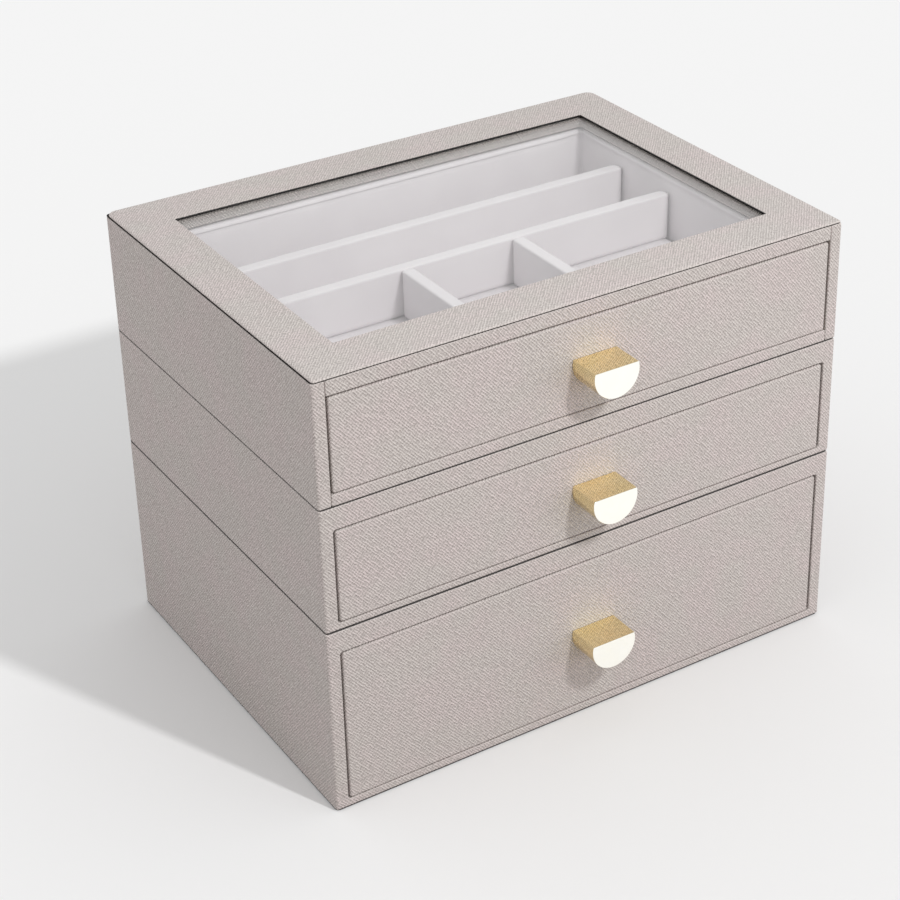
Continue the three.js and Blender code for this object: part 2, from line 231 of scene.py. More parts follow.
# Cross-hatched leatherette: polyurethane on cloth, heat-pressed with fine slanting ridges that a fainter
# set crosses. It gives a dry, even sheen and thin diagonal lines, 1.07 mm from ridge to ridge.
leatherGrain = {
    "colour": "#d3ccc7", "valley": "#aca5a1", "roughness": (0.62, 0.46), "ior": 1.46,
    "blush": "#d8cbc9", "blushShare": 0.9, "blushRange": (0.4, 0.62), "cloudScale": 0.045,
    "ridgePitch": 1.07, "ridgeWander": 3.2, "lean": 41,
    "crossPitch": 1.25, "crossWander": 5, "crossShare": 0.4,
    "dashStretch": (0.95, 0.3, 1), "dashRange": (0.36, 0.62), "dashLow": 0.2,
    "poreScale": 0.95, "poreShare": 1.6, "reliefRange": (0.8, 1.75), "bumpHeight": 0.21,
}
# Painted shade: the strip that is turned into the window lies under the glass, and this darker copy of the
# leatherette stands in for the shade that falls on it there
revealShadeGrain = dict(leatherGrain, colour="#b9b2ad", valley="#97918d", blush="#bcb1af")


def pressedLeatherette(name, grain):
    material, tree = newMaterial(name)
    sheet = addNode(tree, "ShaderNodeUVMap", uv_map="sheet")
    lean = math.radians(grain["lean"])
    across = addNode(tree, "ShaderNodeMapping", {"Vector": sheet, "Rotation": (0, 0, -lean), "Scale": toMm})
    along = addNode(tree, "ShaderNodeMapping", {"Vector": sheet, "Rotation": (0, 0, lean), "Scale": toMm})
    ridges = addNode(tree, "ShaderNodeTexWave", {
        "Vector": across, "Scale": bandRepeat / grain["ridgePitch"], "Distortion": grain["ridgeWander"],
        "Detail Scale": 1.1, "Detail Roughness": 0.6})
    crossing = addNode(tree, "ShaderNodeTexWave", {
        "Vector": along, "Scale": bandRepeat / grain["crossPitch"], "Distortion": grain["crossWander"],
        "Detail Scale": 1.4, "Detail Roughness": 0.6})
    stretched = addNode(tree, "ShaderNodeMapping", {"Vector": across, "Scale": grain["dashStretch"]})
    dashes = addNode(tree, "ShaderNodeTexNoise", {"Vector": stretched, "Scale": 1, "Detail": 1})
    low, high = grain["dashRange"]
    dashHeight = addNode(tree, "ShaderNodeMapRange", {
        "Value": dashes, "From Min": low, "From Max": high, "To Min": grain["dashLow"], "To Max": 1})
    broken = addNode(tree, "ShaderNodeMath", {0: ridges.outputs["Fac"], 1: dashHeight}, operation="MULTIPLY")
    faint = addNode(tree, "ShaderNodeMath", {
        0: crossing.outputs["Fac"], 1: grain["crossShare"]}, operation="MULTIPLY")
    height = addNode(tree, "ShaderNodeMath", {0: broken, 1: faint})
    pores = addNode(tree, "ShaderNodeTexNoise", {"Vector": across, "Scale": grain["poreScale"]})
    height = addNode(tree, "ShaderNodeMath", {
        0: pores, 1: grain["poreShare"], 2: height}, operation="MULTIPLY_ADD")
    low, high = grain["reliefRange"]
    depth = addNode(tree, "ShaderNodeMapRange", {"Value": height, "From Min": low, "From Max": high})
    clouds = addNode(tree, "ShaderNodeTexNoise", {"Vector": across, "Scale": grain["cloudScale"]})
    low, high = grain["blushRange"]
    blush = addNode(tree, "ShaderNodeMapRange", {
        "Value": clouds, "From Min": low, "From Max": high, "To Max": grain["blushShare"]})
    top = addNode(tree, "ShaderNodeMix", {
        "Factor_Float": blush, "A_Color": toLinear(grain["colour"]), "B_Color": toLinear(grain["blush"])},
        data_type="RGBA")
    low, high = grain["roughness"]
    rough = addNode(tree, "ShaderNodeMapRange", {"Value": depth, "To Min": low, "To Max": high})
    return closeMaterial(material, depth, (grain["valley"], top.outputs[2]), {
        "Roughness": rough, "IOR": grain["ior"]}, height, grain["bumpHeight"])


# Lining paper: matt coloured paper with a linen emboss, glued inside the boxes and on the drawer boxes.
# It gives a flat, slightly woven surface. The threads are 0.5 mm apart.
liningPaper = {
    "colour": "#b9b0aa", "thread": "#aaa19b", "threadPitch": 0.5,
    "fleckShare": 0.25, "bumpHeight": 0.02, "roughness": 0.82,
}


def linenPaper():
    paperSet = liningPaper
    material, tree = newMaterial("linenLiningPaper")
    scaled = placeInMm(tree)
    scale = bandRepeat / paperSet["threadPitch"]
    threads = [addNode(tree, "ShaderNodeTexWave", {
        "Vector": scaled, "Scale": scale, "Distortion": 1.5, "Detail": 1, "Detail Scale": 1.5},
        bands_direction=way) for way in "XYZ"]
    woven = addNode(tree, "ShaderNodeMath", {0: threads[0].outputs["Fac"], 1: threads[1].outputs["Fac"]})
    woven = addNode(tree, "ShaderNodeMath", {0: woven, 1: threads[2].outputs["Fac"]})
    flecks = addNode(tree, "ShaderNodeTexNoise", {"Vector": scaled, "Scale": 0.7, "Detail": 4})
    mixShare = addNode(tree, "ShaderNodeMapRange", {
        "Value": woven, "From Min": 0.8, "From Max": 2.4, "To Min": 0.9, "To Max": 0.1})
    base = addNode(tree, "ShaderNodeMix", {
        "Factor_Float": mixShare, "A_Color": toLinear(paperSet["colour"]),
        "B_Color": toLinear(paperSet["thread"])}, data_type="RGBA")
    return closeMaterial(material, paperSet["fleckShare"], (base.outputs[2], flecks.outputs["Color"]), {
        "Roughness": paperSet["roughness"]}, woven, paperSet["bumpHeight"], "SOFT_LIGHT")


# Velvet: short cut pile on a knitted back, stretched over board. It gives pale, soft faces that lighten
# at a slant and faint patches where the nap lies another way. A pile tuft is about 0.35 mm.
velvetNap = {
    "colour": "#e1dcde", "shade": "#d6d0d3", "patch": 28, "tuft": 0.35, "bumpHeight": 0.035,
    "roughness": 0.95, "specular": 0.2, "sheen": 0.35, "sheenRoughness": 0.45,
}


def cutPileVelvet():
    nap = velvetNap
    material, tree = newMaterial("cutPileVelvet")
    scaled = placeInMm(tree)
    patches = addNode(tree, "ShaderNodeTexNoise", {
        "Vector": scaled, "Scale": 1 / nap["patch"], "Distortion": 0.6})
    tufts = addNode(tree, "ShaderNodeTexNoise", {"Vector": scaled, "Scale": 0.5 / nap["tuft"]})
    share = addNode(tree, "ShaderNodeMapRange", {
        "Value": patches, "From Min": 0.35, "From Max": 0.65, "To Max": 0.4})
    speck = addNode(tree, "ShaderNodeMapRange", {
        "Value": tufts, "From Min": 0.3, "From Max": 0.7, "To Min": 0.3, "To Max": 0})
    share = addNode(tree, "ShaderNodeMath", {0: share, 1: speck})
    return closeMaterial(material, share, (nap["colour"], nap["shade"]), {
        "Roughness": nap["roughness"], "Specular IOR Level": nap["specular"], "Sheen Weight": nap["sheen"],
        "Sheen Roughness": nap["sheenRoughness"]}, tufts, nap["bumpHeight"])


# Pressed felt: short dark fibres matted into a thin sheet. It gives a dull, fuzzy, faintly mottled black,
# whose near-black tone also fills the thin seams between the boxes and under the case: partly the felt's own
# colour, partly painted shade of those gaps.
feltFibresAndSeamShade = {
    "colour": "#35312f", "fleck": "#221f1e", "fibre": 0.6, "bumpHeight": 0.08,
    "specular": 0.1, "sheen": 0.3, "sheenRoughness": 0.6,
}


def pressedFeltAndSeamShade():
    fibres = feltFibresAndSeamShade
    material, tree = newMaterial("pressedFeltAndSeamShade")
    scaled = placeInMm(tree)
    strands = addNode(tree, "ShaderNodeTexNoise", {
        "Vector": scaled, "Scale": 0.5 / fibres["fibre"], "Detail": 5, "Roughness": 0.7, "Distortion": 3})
    mottle = addNode(tree, "ShaderNodeTexNoise", {"Vector": scaled, "Scale": 0.08, "Detail": 3})
    share = addNode(tree, "ShaderNodeMath", {0: strands, 1: mottle}, operation="MULTIPLY")
    share = addNode(tree, "ShaderNodeMapRange", {
        "Value": share, "From Min": 0.12, "From Max": 0.4, "To Min": 1, "To Max": 0})
    return closeMaterial(material, share, (fibres["colour"], fibres["fleck"]), {
        "Roughness": 1, "Specular IOR Level": fibres["specular"], "Sheen Weight": fibres["sheen"],
        "Sheen Roughness": fibres["sheenRoughness"]}, strands, fibres["bumpHeight"])


# Polished brass, clear-lacquered: turned and milled bar, buffed. It gives warm mirror-like faces with
# faint buffing marks across the bar. The marks are really under 0.05 mm and are drawn 0.3 mm apart.
polishedBrass = {
    # the face pair is near white: a painted reflection of the bright floor that the end face mirrors
    "bar": ("#fff0c2", "#fae3ac"), "face": ("#fffffa", "#fffdf2"),
    "markPitch": 0.3, "bumpHeight": 0.0003, "roughness": (0.01, 0.05),
}


def buffedBrass(name, colours):
    brass = polishedBrass
    material, tree = newMaterial(name)
    scaled = placeInMm(tree)
    drawn = addNode(tree, "ShaderNodeMapping", {
        "Vector": scaled, "Scale": (1 / brass["markPitch"], 0.05, 1 / brass["markPitch"])})
    marks = addNode(tree, "ShaderNodeTexNoise", {"Vector": drawn, "Scale": 1})
    bloom = addNode(tree, "ShaderNodeTexNoise", {"Vector": scaled, "Scale": 0.15})
    low, high = brass["roughness"]
    rough = addNode(tree, "ShaderNodeMapRange", {
        "Value": marks, "From Min": 0.3, "From Max": 0.7, "To Min": low, "To Max": high})
    return closeMaterial(material, bloom, colours, {"Metallic": 1, "Roughness": rough},
                         marks, brass["bumpHeight"])


# Zinc-plated steel screw: rolled and plated, with a cool grey shine and small darker spangles of 0.8 mm.
zincSteel = {"colour": "#c3c6c8", "spangle": "#a4a8ab", "grain": 0.8, "roughness": (0.28, 0.42)}


def platedSteel():
    zinc = zincSteel
    material, tree = newMaterial("zincPlatedSteel")
    scaled = placeInMm(tree)
    spangles = addNode(tree, "ShaderNodeTexVoronoi", {"Vector": scaled, "Scale": 1 / zinc["grain"]})
    low, high = zinc["roughness"]
    rough = addNode(tree, "ShaderNodeMapRange", {
        "Value": spangles, "From Max": 0.8, "To Min": low, "To Max": high})
    return closeMaterial(material, spangles, (zinc["colour"], zinc["spangle"]), {
        "Metallic": 1, "Roughness": rough})


# Float glass, 1.8 mm, coated against reflection: it is all but clear, with a breath of haze here and
# there. The coating is given by the low specular level.
windowGlass = {"tint": "#fbfdfc", "haze": (0.0, 0.03), "ior": 1.45, "reflection": 0.12}


def coatedGlass():
    pane = windowGlass
    material, tree = newMaterial("coatedFloatGlass")
    scaled = placeInMm(tree)
    breath = addNode(tree, "ShaderNodeTexNoise", {"Vector": scaled, "Scale": 0.03, "Detail": 3})
    low, high = pane["haze"]
    rough = addNode(tree, "ShaderNodeMapRange", {
        "Value": breath, "From Min": 0.5, "From Max": 0.8, "To Min": low, "To Max": high})
    shader = addNode(tree, "ShaderNodeBsdfPrincipled", {
        "Base Color": toLinear(pane["tint"]), "Roughness": rough, "IOR": pane["ior"],
        "Specular IOR Level": pane["reflection"], "Transmission Weight": 1})
    addNode(tree, "ShaderNodeOutputMaterial", {"Surface": shader})
    return material


# Adhesive tape: black film over a scrim, matt, with fine pores of about 0.3 mm in its slit edge.
adhesiveTape = {"colour": "#26211f", "pore": "#151211", "poreSize": 0.3, "bumpHeight": 0.03,
                "roughness": 0.85, "specular": 0.2}


def blackTape():
    film = adhesiveTape
    material, tree = newMaterial("blackAdhesiveTape")
    scaled = placeInMm(tree)
    pores = addNode(tree, "ShaderNodeTexVoronoi", {"Vector": scaled, "Scale": 1 / film["poreSize"]})
    return closeMaterial(material, pores, (film["pore"], film["colour"]), {
        "Roughness": film["roughness"], "Specular IOR Level": film["specular"]}, pores, film["bumpHeight"])


# Edge paint: black acrylic brushed on the cap's cut window edge. It gives a satin black with faint
# strokes about 0.4 mm wide along the edge.
edgePaint = {"colour": "#1b1918", "stroke": "#0f0e0e", "strokeWidth": 0.4, "bumpHeight": 0.01,
             "roughness": (0.4, 0.65)}


def paintedEdge():
    paint = edgePaint
    material, tree = newMaterial("blackEdgePaint")
    place = addNode(tree, "ShaderNodeTexCoord")
    scaled = addNode(tree, "ShaderNodeMapping", {
        "Vector": place.outputs["Object"], "Scale": (0.1 / mm, 0.1 / mm, 1 / (paint["strokeWidth"] * mm))})
    strokes = addNode(tree, "ShaderNodeTexNoise", {"Vector": scaled, "Scale": 1, "Detail": 3})
    low, high = paint["roughness"]
    rough = addNode(tree, "ShaderNodeMapRange", {
        "Value": strokes, "From Min": 0.3, "From Max": 0.7, "To Min": low, "To Max": high})
    return closeMaterial(material, strokes, (paint["colour"], paint["stroke"]), {"Roughness": rough},
                         strokes, paint["bumpHeight"])


leatherette = pressedLeatherette("crossHatchedLeatherette", leatherGrain)
# a darker copy of the leatherette: painted shade for the window reveal
revealShadeLeatherette = pressedLeatherette("revealShadeLeatherette", revealShadeGrain)
lining = linenPaper()
velvet = cutPileVelvet()
# near-black felt: partly its own colour, partly painted shade in the seams
felt = pressedFeltAndSeamShade()
brass = buffedBrass("buffedBrass", polishedBrass["bar"])
# near-white brass for the end faces: painted reflection of the floor
brassPaintedReflection = buffedBrass("buffedBrassPaintedReflection", polishedBrass["face"])
steel = platedSteel()
glass = coatedGlass()
tape = blackTape()
edgeBlack = paintedEdge()
print("materials made")


def newPiece(name, shape):
    mesh = bpy.data.meshes.new(name)
    shape.to_mesh(mesh)
    shape.free()
    piece = bpy.data.objects.new(name, mesh)
    bpy.context.scene.collection.objects.link(piece)
    return piece


# One loop of a rounded rectangle, counter-clockwise from above. radii are those of the corners right
# rear, left rear, left front and right front, and parts cut the straight sides along X and along Y.
def ringPoints(outline, inset, height, steps, parts):
    halfX, halfY = outline["halfX"] - inset, outline["halfY"] - inset
    centreX, centreY = outline.get("centre", (0, 0))
    arcs = []
    for quarter, (signX, signY) in enumerate(((1, 1), (-1, 1), (-1, -1), (1, -1))):
        radius = max(outline["radii"][quarter] - inset, 0.05)
        arc = []
        for step in range(steps + 1):
            angle = (quarter + step / steps) * math.pi / 2
            arc.append(Vector((centreX + signX * (halfX - radius) + radius * math.cos(angle),
                               centreY + signY * (halfY - radius) + radius * math.sin(angle), height)))
        arcs.append(arc)
    points = []
    for quarter, arc in enumerate(arcs):
        points += arc
        following = arcs[(quarter + 1) % 4][0]
        count = parts[quarter % 2]
        points += [arc[-1].lerp(following, part / count) for part in range(1, count)]
    return points


# profile is a list of (inset, height) pairs, from the lowest ring to the last
def rings(outline, profile, steps=6, parts=(1, 1)):
    return [ringPoints(outline, inset, height, steps, parts) for inset, height in profile]


# Quarter rounds as such pairs: under a slab, over it, and over and under the edge of a hole
def roundUnder(radius, height, steps=4):
    turns = [step / steps * math.pi / 2 for step in range(steps, -1, -1)]
    return [(radius * (1 - math.cos(a)), height + radius * (1 - math.sin(a))) for a in turns]


def roundOver(radius, height, steps=4, fall=None):
    turns = [step / steps * math.pi / 2 for step in range(steps + 1)]
    return [(radius * (1 - math.cos(a)), height - (fall or radius) * (1 - math.sin(a))) for a in turns]


def roundInto(radius, height, steps=4):
    return [(-inset, level) for inset, level in reversed(roundOver(radius, height, steps))]


def roundOutOf(radius, height, steps=4):
    return [(-inset, level) for inset, level in reversed(roundUnder(radius, height, steps))]


def loft(name, loops, isFrame=False):
    shape = bmesh.new()
    layers = [[shape.verts.new(point * mm) for point in loop] for loop in loops]
    count = len(loops[0])
    bands = list(zip(layers, layers[1:]))
    if isFrame:
        bands.append((layers[-1], layers[0]))
    for low, high in bands:
        for index in range(count):
            after = (index + 1) % count
            shape.faces.new((low[index], low[after], high[after], high[index]))
    if not isFrame:
        shape.faces.new(list(reversed(layers[0])))
        shape.faces.new(layers[-1])
    return newPiece(name, shape)


# A bar whose section is an outline of points (counter-clockwise), drawn out along one axis
def prism(name, outline, span, axis):
    order = {"x": lambda u, v, w: (w, u, v), "y": lambda u, v, w: (v, w, u), "z": lambda u, v, w: (u, v, w)}
    place = order[axis]
    shape = bmesh.new()
    ends = [[shape.verts.new(Vector(place(u, v, w)) * mm) for u, v in outline] for w in span]
    shape.faces.new(list(reversed(ends[0])))
    shape.faces.new(ends[1])
    for index in range(len(outline)):
        after = (index + 1) % len(outline)
        shape.faces.new((ends[0][index], ends[0][after], ends[1][after], ends[1][index]))
    return newPiece(name, shape)


def boxPrism(name, low, high):
    outline = [(low[0], low[1]), (high[0], low[1]), (high[0], high[1]), (low[0], high[1])]
    return prism(name, outline, (low[2], high[2]), "z")


def bakeModifiers(piece):
    evaluated = piece.evaluated_get(bpy.context.evaluated_depsgraph_get())
    mesh = bpy.data.meshes.new_from_object(evaluated)
    piece.modifiers.clear()
    piece.data = mesh
    mesh.name = piece.name


def carve(piece, *cutters):
    for cutter in cutters:
        cut = piece.modifiers.new("cut", "BOOLEAN")
        cut.operation = "DIFFERENCE"
        cut.solver = "EXACT"
        cut.object = cutter
        bakeModifiers(piece)
        bpy.data.objects.remove(cutter)


# Rounds all sharp edges, or those that a test of both end points (in millimetres) picks out
def softenEdges(piece, radius, picks=lambda a, b: True, segments=3, minAngle=50):
    shape = bmesh.new()
    shape.from_mesh(piece.data)
    bmesh.ops.remove_doubles(shape, verts=shape.verts, dist=1e-6)
    sharp = [edge for edge in shape.edges if len(edge.link_faces) == 2
             and math.degrees(edge.calc_face_angle()) > minAngle
             and picks(edge.verts[0].co / mm, edge.verts[1].co / mm)]
    bmesh.ops.bevel(shape, geom=sharp, offset=radius * mm, segments=segments, profile=0.5,
                    affect="EDGES", clamp_overlap=True)
    shape.to_mesh(piece.data)
    shape.free()


# Lays the covering on as one flat sheet for each way that a face looks, in metres, so the grain is true
def layCovering(mesh):
    sheet = mesh.uv_layers.new(name="sheet")
    for face in mesh.polygons:
        normal = face.normal
        reach = [abs(normal.x), abs(normal.y), abs(normal.z)]
        side = reach.index(max(reach))
        for loop in face.loop_indices:
            x, y, z = mesh.vertices[mesh.loops[loop].vertex_index].co
            flats = (y, z), (x if normal.y < 0 else -x, z), (-x if normal.z > 0 else x, y)
            sheet.data[loop].uv = flats[side]


# Gives a finished piece its finishes, its covering's flat layout and its place in the frame
def dress(piece, finishes, node, sharpAngle=34):
    mesh = piece.data
    mesh.materials.clear()
    for finish in finishes:
        mesh.materials.append(finish)
    mesh.shade_smooth()
    mesh.set_sharp_from_angle(angle=math.radians(sharpAngle))
    layCovering(mesh)
    flat = piece.modifiers.new("flatFaces", "WEIGHTED_NORMAL")
    flat.keep_sharp = True
    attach(piece, frame["nodes"][node]["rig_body"])
    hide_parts(node)


# Gives the faces that a test of centre and normal picks out the piece's second finish
def paintFaces(piece, picks):
    for face in piece.data.polygons:
        if picks(face.center / mm, face.normal):
            face.material_index = 1


# The covered lower and middle boxes. The leatherette is one skin, turned into the doorway and under the
# base, and the boards inside step back for it.
skin = {
    "thickness": 0.8, "seat": 0.1, "topEdge": 0.5, "hemEdge": {"lower": 0.5, "middle": 1.0},
    "frontCorner": 1.1, "rearCorner": 2.8, "boardCornerCut": (1.0, 2.2), "boardEdge": 0.2,
    "doorCorner": 1.2, "doorEdge": 0.5, "turnIn": 15, "turnInThickness": 0.5,
    "hemWidth": 14, "hemThickness": 0.35,
}


def coveredBox(name):
    def linedBoard(board, node):
        softenEdges(board, skin["boardEdge"], segments=2)
        dress(board, [lining], f"{name}_{node}")

    low, high = mmBox(f"{name}_wrap")
    openLow = mmBox(f"{name}_base_board")[1].z
    openHigh = mmBox(f"{name}_top_board")[0].z
    openHalf = mmBox(f"{name}_right_side")[0].x
    wall, seat, fold = skin["thickness"], skin["seat"], skin["turnInThickness"]
    front, rear = skin["frontCorner"], skin["rearCorner"]
    outline = {"halfX": high.x, "halfY": high.y, "radii": (rear, rear, front, front)}
    outside = roundUnder(skin["hemEdge"][name], low.z) + roundOver(skin["topEdge"], high.z, 5)
    cover = loft(f"{name}_cover", rings(outline, outside))
    foldRear = low.y + skin["turnIn"]
    hemTop = low.z + skin["hemThickness"]
    hollow = loft("hollow", rings(outline, [(wall, hemTop), (wall, high.z - wall)]))
    foldBlock = boxPrism("foldBlock", (-openHalf - fold, low.y - 1, openLow - fold),
                         (openHalf + fold, foldRear, openHigh + fold))
    carve(hollow, foldBlock)
    doorOutline = {"halfX": openHalf, "halfY": (openHigh - openLow) / 2,
                   "radii": (skin["doorCorner"],) * 4, "centre": (0, (openLow + openHigh) / 2)}
    doorway = loft("doorway", rings(doorOutline, [(0, -foldRear - 3), (0, -low.y + 3)]))
    doorway.data.transform(Matrix.Rotation(math.pi / 2, 4, "X"))
    inHem = skin["hemWidth"]
    under = boxPrism("under", (low.x + inHem, low.y + inHem, low.z - 2),
                     (high.x - inHem, high.y - inHem, hemTop + 0.2))
    carve(cover, hollow, doorway, under)
    softenEdges(cover, skin["doorEdge"], lambda a, b: all(
        abs(p.y - low.y) < 0.01 and abs(p.x) < openHalf + 0.1 and openLow - 0.1 < p.z < openHigh + 0.1
        for p in (a, b)), minAngle=70)
    dress(cover, [leatherette], f"{name}_wrap")

    stepBack = fold + seat
    foot = hemTop + seat
    frontCut, rearCut = skin["boardCornerCut"]
    for hand, side in (("left", -1), ("right", 1)):
        boardLow, boardHigh = mmBox(f"{name}_{hand}_side")
        outer = boardHigh.x if side > 0 else -boardLow.x
        section = [(outer, boardLow.y + frontCut), (outer, boardHigh.y - rearCut),
                   (outer - rearCut, boardHigh.y), (openHalf, boardHigh.y),
                   (openHalf, foldRear + seat), (openHalf + stepBack, foldRear + seat),
                   (openHalf + stepBack, boardLow.y), (outer - frontCut, boardLow.y)]
        if side < 0:
            section = [(-u, v) for u, v in reversed(section)]
        linedBoard(prism(f"{name}_{hand}_board", section, (foot, boardHigh.z), "z"), f"{hand}_side")
    boardLow, boardHigh = mmBox(f"{name}_base_board")
    section = [(boardLow.y, foot), (boardHigh.y, foot), (boardHigh.y, openLow),
               (foldRear + seat, openLow), (foldRear + seat, openLow - stepBack),
               (boardLow.y, openLow - stepBack)]
    linedBoard(prism(f"{name}_floor_board", section, (boardLow.x, boardHigh.x), "x"), "base_board")
    boardLow, boardHigh = mmBox(f"{name}_top_board")
    section = [(boardLow.y, openHigh + stepBack), (foldRear + seat, openHigh + stepBack),
               (foldRear + seat, openHigh), (boardHigh.y, openHigh), (boardHigh.y, boardHigh.z),
               (boardLow.y, boardHigh.z)]
    linedBoard(prism(f"{name}_roof_board", section, (boardLow.x, boardHigh.x), "x"), "top_board")
    boardLow, boardHigh = mmBox(f"{name}_back_board")
    linedBoard(boxPrism(f"{name}_rear_board", (boardLow.x, boardLow.y, foot), boardHigh), "back_board")


for boxName in ("lower", "middle"):
    coveredBox(boxName)
print("lower and middle boxes covered")


# The upper box: four boards covered one by one, then the board that frames the window and the cap on it.
# The cap's rim is rolled by capRoll (inset, fall), steps in a hair at its foot by capUnder, and stands in
# from the sides by capSide. windowFoot rounds the window board's lower edge, below the glass.
lid = {
    "boardEdge": 0.6, "railEdge": 0.5,
    "capRoll": (1.3, 0.75), "capRollSteps": 6, "capSide": 0.4, "capRearCorner": 4.2,
    "capUnder": ((0.25, 0), (0, 0.15)), "capWindowEdge": 0.25,
    "windowHalfX": 103.2, "windowHalfY": 68.2, "windowCorner": 0.3, "windowFoot": 1.4,
    "glassPlay": 0.3, "reveal": 0.3,
}


def isWindowEdge(centre, normal):
    inWindow = abs(centre.x) < lid["windowHalfX"] + 0.1 and abs(centre.y) < lid["windowHalfY"] + 0.1
    return inWindow and abs(normal.z) < 0.1


def upperBox():
    front, rear = skin["frontCorner"], skin["rearCorner"]
    edge = lid["boardEdge"]
    for hand, side in (("left", -1), ("right", 1)):
        low, high = mmBox(f"upper_{hand}_side")
        outer, inner = (high.x, low.x) if side > 0 else (-low.x, -high.x)
        outline = [(inner, low.y)]
        for radius, centreY, start in ((front, low.y + front, -90), (rear, high.y - rear, 0)):
            turns = [math.radians(start + step * 15) for step in range(7)]
            centreX = outer - radius
            outline += [(centreX + radius * math.cos(a), centreY + radius * math.sin(a)) for a in turns]
        outline.append((inner, high.y))
        if side < 0:
            outline = [(-u, v) for u, v in reversed(outline)]
        board = prism(f"upper_{hand}_board", outline, (low.z, high.z), "z")
        softenEdges(board, edge)
        dress(board, [leatherette, lining], f"upper_{hand}_side")
        paintFaces(board, lambda centre, normal: abs(normal.x) > 0.9 and abs(centre.x) < inner + 0.01)
    for node, name in (("upper_back_board", "upper_rear_board"), ("upper_base_board", "upper_floor_board")):
        low, high = mmBox(node)
        board = boxPrism(name, low, high)
        softenEdges(board, edge)
        dress(board, [leatherette], node)

    low, high = mmBox("upper_frame_board")
    glassLow, glassHigh = mmBox("upper_glass")
    rebate = glassHigh.x + lid["glassPlay"] - lid["windowHalfX"]
    middleY = (low.y + high.y) / 2
    outline = {"halfX": high.x, "halfY": (high.y - low.y) / 2, "radii": (edge,) * 4, "centre": (0, middleY)}
    window = {"halfX": lid["windowHalfX"], "halfY": lid["windowHalfY"], "radii": (lid["windowCorner"],) * 4}
    ledge = glassLow.z - skin["seat"]
    rail = roundUnder(edge, low.z, 3) + roundOver(lid["railEdge"], high.z)
    board = loft("upper_window_board", rings(outline, rail)
                 + rings(window, [(-rebate, high.z), (-rebate, ledge)] + roundInto(lid["reveal"], ledge, 2)
                 + roundOutOf(lid["windowFoot"], low.z)), isFrame=True)
    dress(board, [leatherette, revealShadeLeatherette], "upper_frame_board")
    # the window's inner faces below the ledge take the darker leatherette copy, which is painted shade
    paintFaces(board, lambda centre, normal: isWindowEdge(centre, normal) and centre.z < ledge)

    low, high = mmBox("upper_cap_frame")
    rearRound = lid["capRearCorner"]
    outline = {"halfX": high.x - lid["capSide"], "halfY": high.y,
               "radii": (rearRound, rearRound, front, front)}
    rollInset, rollFall = lid["capRoll"]
    roll = roundOver(rollInset, high.z, lid["capRollSteps"], rollFall)
    under = [(inset, low.z + rise) for inset, rise in lid["capUnder"]]
    cap = loft("upper_cap", rings(outline, under + roll)
               + rings(window, roundInto(lid["capWindowEdge"], high.z, 3) + [(0, low.z)]), isFrame=True)
    dress(cap, [leatherette, edgeBlack], "upper_cap_frame")
    paintFaces(cap, isWindowEdge)


upperBox()
print("upper box covered")


# The drawer fronts: a board wrapped in leatherette, bored and counterbored from behind for the screw
frontPanel = {"edge": 0.9, "corner": 1.1, "rearEdge": 0.3, "boreRadius": 1.9, "sinkRadius": 3.9,
              "sinkDepth": 2.3}
drawerNames = ("lower_drawer", "middle_drawer", "upper_drawer")


def crossBore(radius, z, span, sides=32):
    turns = [2 * math.pi * i / sides for i in range(sides)]
    return prism("bore", [(z + radius * math.cos(a), radius * math.sin(a)) for a in turns], span, "y")


def coveredFront(name):
    low, high = mmBox(f"{name}_front")
    centreZ = (low.z + high.z) / 2
    outline = {"halfX": high.x, "halfY": (high.z - low.z) / 2, "radii": (frontPanel["corner"],) * 4,
               "centre": (0, centreZ)}
    panel = loft(f"{name}_panel", rings(outline, roundUnder(frontPanel["rearEdge"], -high.y, 2)
                 + roundOver(frontPanel["edge"], -low.y, 5), steps=5))
    panel.data.transform(Matrix.Rotation(math.pi / 2, 4, "X"))
    screwLow, screwHigh = mmBox(f"{name}_pull_screw")
    boreZ = (screwLow.z + screwHigh.z) / 2
    carve(panel, crossBore(frontPanel["boreRadius"], boreZ, (low.y - 1, high.y + 1)),
          crossBore(frontPanel["sinkRadius"], boreZ, (high.y - frontPanel["sinkDepth"], high.y + 1)))
    dress(panel, [leatherette], f"{name}_front")


for drawerName in drawerNames:
    coveredFront(drawerName)
print("drawer fronts covered")


# The pulls: solid round bar cut flat above its axis, with a small chamfer round the end face. The end face
# and its chamfer get a near-white colour
# to the depth the pull settings give: a painted reflection of the bright floor in front of them.
pull = {"radius": 10.7, "flat": 2.6, "cornerRound": 0.35, "chamfer": 0.3, "rearChamfer": 0.2,
        "reflectionPaintDepth": 0.35, "arcSteps": 64, "cornerSteps": 4, "boreRadius": 1.9, "boreDepth": 8.3}


def pullSection(inset, depth):
    radius, flat = pull["radius"] - inset, pull["flat"] - inset
    corner = max(pull["cornerRound"] - inset, 0.08)
    centreU = math.sqrt((radius - corner) ** 2 - (flat - corner) ** 2)
    lean = math.atan2(flat - corner, centreU)
    points = []
    for step in range(pull["arcSteps"] + 1):
        angle = math.pi - lean + (math.pi + 2 * lean) * step / pull["arcSteps"]
        points.append((radius * math.cos(angle), radius * math.sin(angle)))
    steps = pull["cornerSteps"]
    for step in range(1, steps + 1):
        angle = lean + (math.pi / 2 - lean) * step / steps
        points.append((centreU + corner * math.cos(angle), flat - corner + corner * math.sin(angle)))
    for step in range(steps):
        angle = math.pi / 2 + (math.pi / 2 - lean) * step / steps
        points.append((-centreU + corner * math.cos(angle), flat - corner + corner * math.sin(angle)))
    return [Vector((u, v, depth)) for u, v in points]


